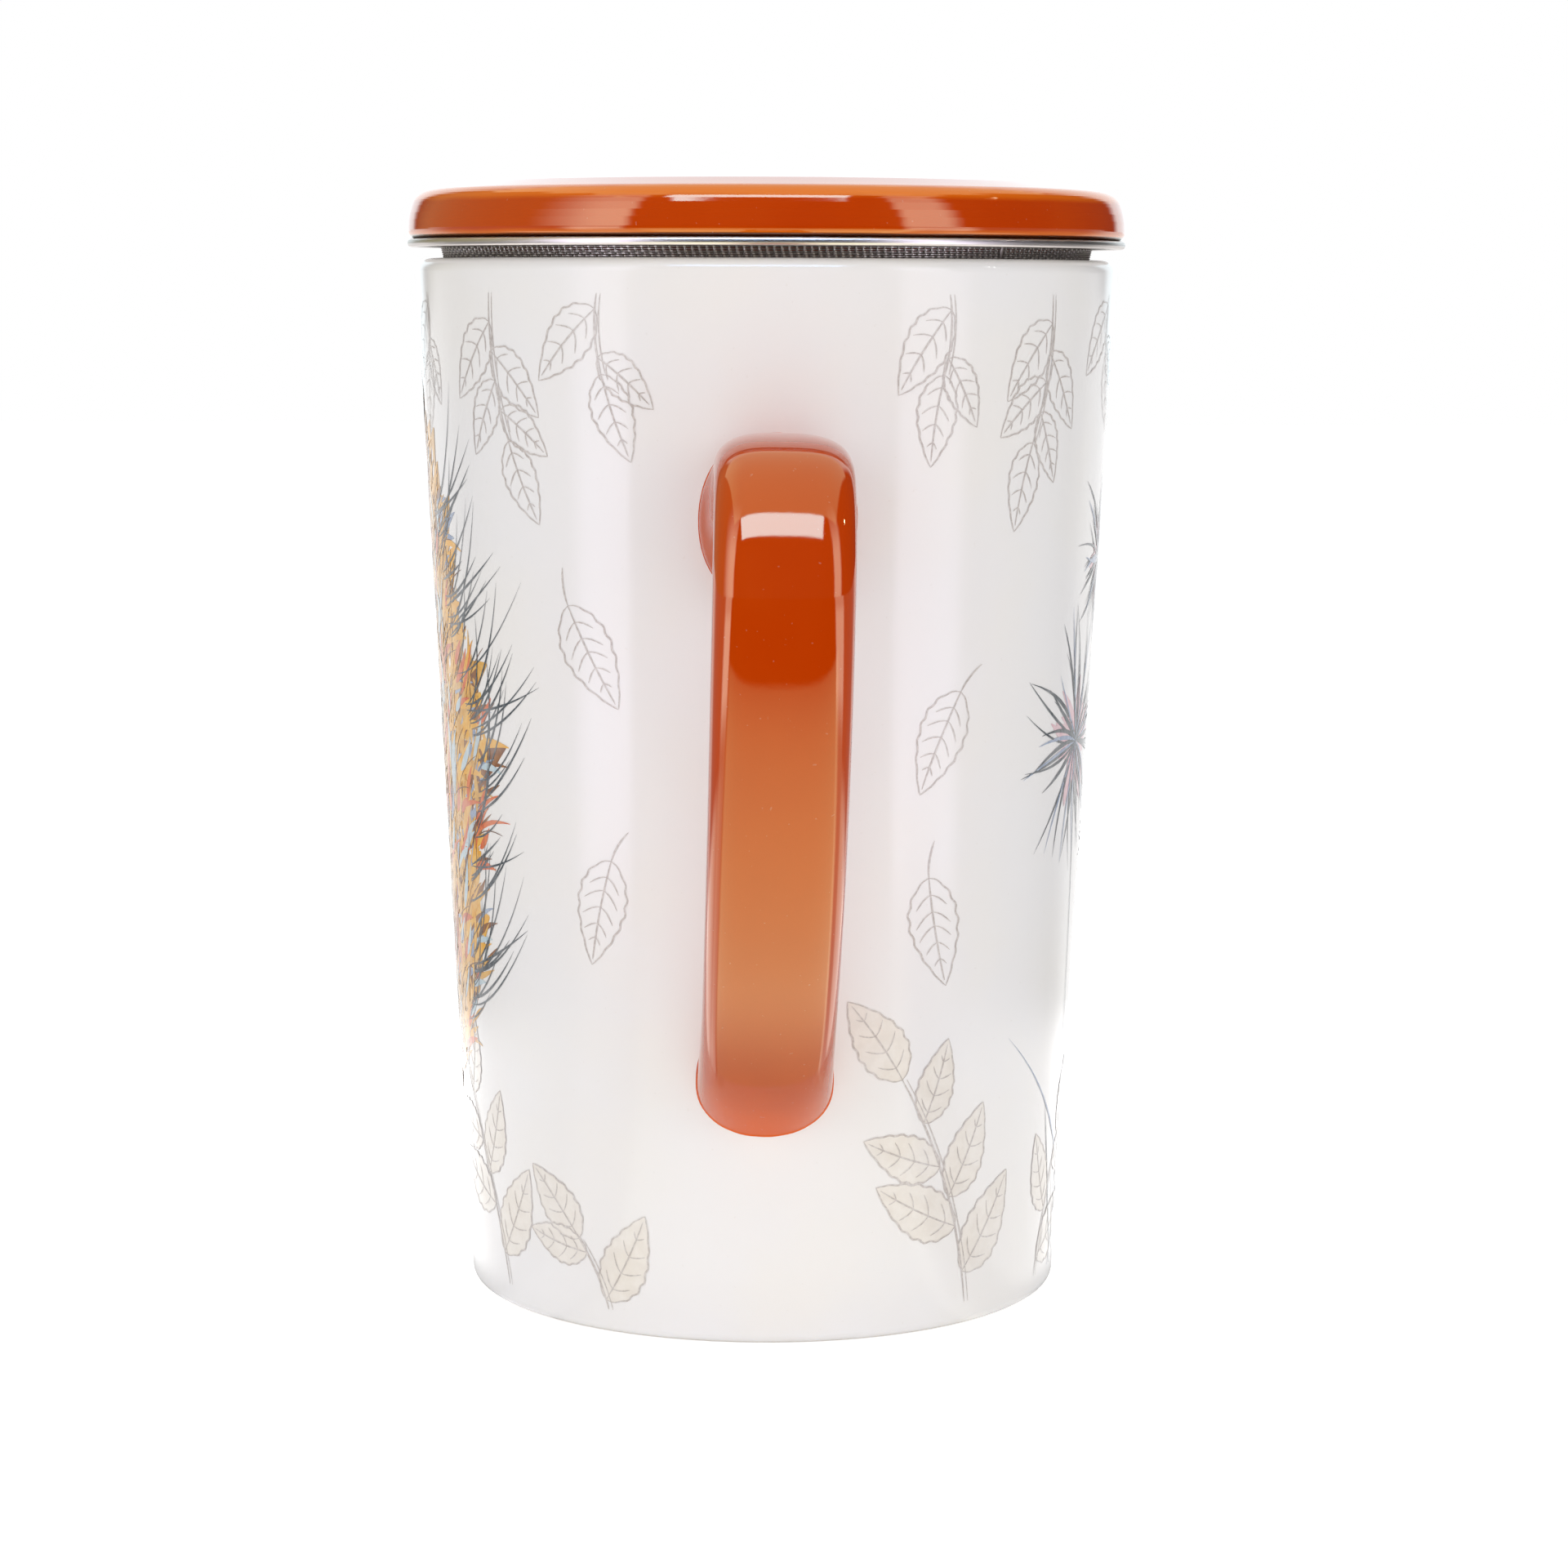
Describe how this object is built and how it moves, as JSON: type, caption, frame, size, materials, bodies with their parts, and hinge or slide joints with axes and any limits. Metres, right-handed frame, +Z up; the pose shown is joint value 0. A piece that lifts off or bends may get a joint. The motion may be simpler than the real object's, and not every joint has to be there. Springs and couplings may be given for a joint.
{
  "type": "lidded tea mug with infuser",
  "caption": "Tall tapered porcelain tea mug with a strap handle, a lift-out woven steel infuser basket and a loose glazed ceramic lid that rests on the basket's flange.",
  "frame": {"origin": "centre of the foot ring, on the surface that the mug stands on", "axes": "+Z up along the mug's axis; the handle points along -Y; +X to the right when the handle faces the viewer"},
  "size_m": [0.089, 0.1225, 0.1391],
  "materials": {
    "porcelain": "clear glaze over printed white porcelain",
    "orange_glaze": "high-gloss coloured glaze",
    "polished_steel": "satin stainless sheet",
    "woven_steel": "woven stainless wire cloth"
  },
  "bodies": {
    "mug": {"mug_body": "porcelain", "handle": "orange_glaze"},
    "infuser": {"infuser_rim": "polished_steel", "infuser_wall": "woven_steel", "infuser_seam": "woven_steel", "infuser_floor": "woven_steel", "infuser_hem": "polished_steel"},
    "lid": {"lid": "orange_glaze"}
  },
  "joints": [
    {"name": "infuser_lift", "type": "slide", "parent": "mug", "child": "infuser", "axis": [0, 0, 1], "range_m": [0, 0.1]},
    {"name": "lid_lift", "type": "slide", "parent": "infuser", "child": "lid", "axis": [0, 0, 1], "range_m": [0, 0.05]}
  ]
}
